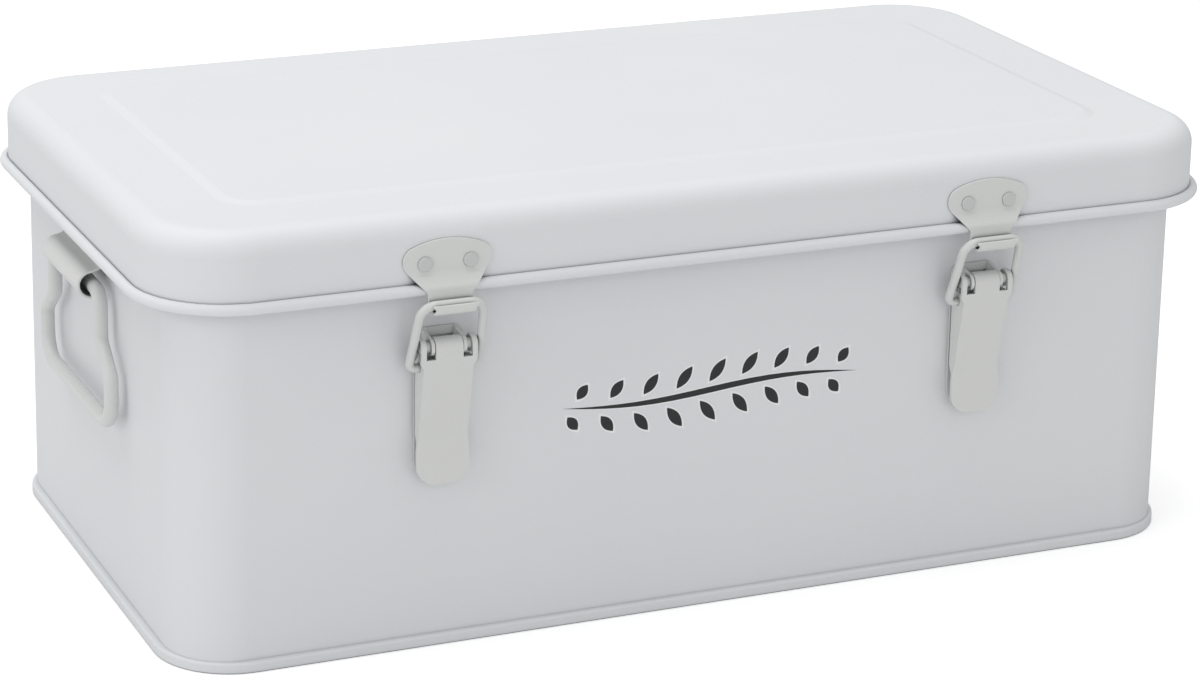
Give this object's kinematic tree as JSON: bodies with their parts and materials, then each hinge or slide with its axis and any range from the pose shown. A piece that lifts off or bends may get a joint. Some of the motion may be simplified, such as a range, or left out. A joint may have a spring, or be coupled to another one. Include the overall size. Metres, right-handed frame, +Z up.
{
  "type": "seed organizer box",
  "caption": "Long sheet-steel storage box with a hinged lid, two draw latches, drop handles on its ends and slotted dividers inside for seed packets.",
  "frame": {"origin": "centre of the base, on the surface the box stands on", "axes": "+X along the box's length to the right, -Y towards the latches at the front, +Z up"},
  "size_m": [0.3498, 0.2064, 0.1347],
  "materials": {
    "powder_coated_steel": "cool light grey coating over pressed sheet steel, soft satin",
    "painted_hardware": "light grey paint over stamped steel, slightly warmer than the box",
    "painted_wire": "light grey paint over bent steel wire, a little glossier than the sheet",
    "painted_rivets": "light grey paint over small domed rivets",
    "coated_dividers": "light grey coated sheet steel, matt"
  },
  "bodies": {
    "box": {"body_wall": "powder_coated_steel", "base_pan": "powder_coated_steel", "divider_long": "coated_dividers", "divider_cross_1": "coated_dividers", "divider_cross_2": "coated_dividers", "divider_cross_3": "coated_dividers", "latch_base_left": "painted_hardware", "latch_pin_left": "painted_wire", "latch_rivets_left": "painted_rivets", "handle_bracket_left": "painted_hardware", "hinge_body_leaf_left": "painted_hardware", "hinge_pin_left": "painted_wire", "hinge_body_rivets_left": "painted_rivets", "latch_base_right": "painted_hardware", "latch_pin_right": "painted_wire", "latch_rivets_right": "painted_rivets", "handle_bracket_right": "painted_hardware", "hinge_body_leaf_right": "painted_hardware", "hinge_pin_right": "painted_wire", "hinge_body_rivets_right": "painted_rivets"},
    "lid": {"lid_shell": "powder_coated_steel", "catch_plate_left": "painted_hardware", "catch_rivets_left": "painted_rivets", "hinge_lid_leaf_left": "painted_hardware", "hinge_lid_rivets_left": "painted_rivets", "catch_plate_right": "painted_hardware", "catch_rivets_right": "painted_rivets", "hinge_lid_leaf_right": "painted_hardware", "hinge_lid_rivets_right": "painted_rivets"},
    "lever_left": {"lever_left": "painted_hardware"},
    "loop_left": {"loop_left": "painted_wire"},
    "handle_left": {"handle_left": "painted_wire"},
    "lever_right": {"lever_right": "painted_hardware"},
    "loop_right": {"loop_right": "painted_wire"},
    "handle_right": {"handle_right": "painted_wire"}
  },
  "joints": [
    {"name": "lid_hinge", "type": "hinge", "parent": "box", "child": "lid", "pos_m": [0, 0.1005, 0.1065], "axis": [-1, 0, 0], "range_deg": [0, 105]},
    {"name": "lever_left_pivot", "type": "hinge", "parent": "box", "child": "lever_left", "pos_m": [-0.0875, -0.09525, 0.0947], "axis": [-1, 0, 0], "range_deg": [0, 80]},
    {"name": "loop_left_pivot", "type": "hinge", "parent": "lever_left", "child": "loop_left", "pos_m": [-0.0875, -0.0932, 0.0882], "axis": [-1, 0, 0], "range_deg": [-59, 0]},
    {"name": "handle_left_swing", "type": "hinge", "parent": "box", "child": "handle_left", "pos_m": [-0.1697, 0, 0.0983], "axis": [0, 1, 0], "range_deg": [0, 140]},
    {"name": "lever_right_pivot", "type": "hinge", "parent": "box", "child": "lever_right", "pos_m": [0.0875, -0.09525, 0.0947], "axis": [-1, 0, 0], "range_deg": [0, 80]},
    {"name": "loop_right_pivot", "type": "hinge", "parent": "lever_right", "child": "loop_right", "pos_m": [0.0875, -0.0932, 0.0882], "axis": [-1, 0, 0], "range_deg": [-59, 0]},
    {"name": "handle_right_swing", "type": "hinge", "parent": "box", "child": "handle_right", "pos_m": [0.1697, 0, 0.0983], "axis": [0, -1, 0], "range_deg": [0, 140]}
  ],
  "couplings": [
    {"joint": "loop_left_pivot", "follows": "lever_left_pivot", "ratio": -0.73},
    {"joint": "loop_right_pivot", "follows": "lever_right_pivot", "ratio": -0.73}
  ]
}
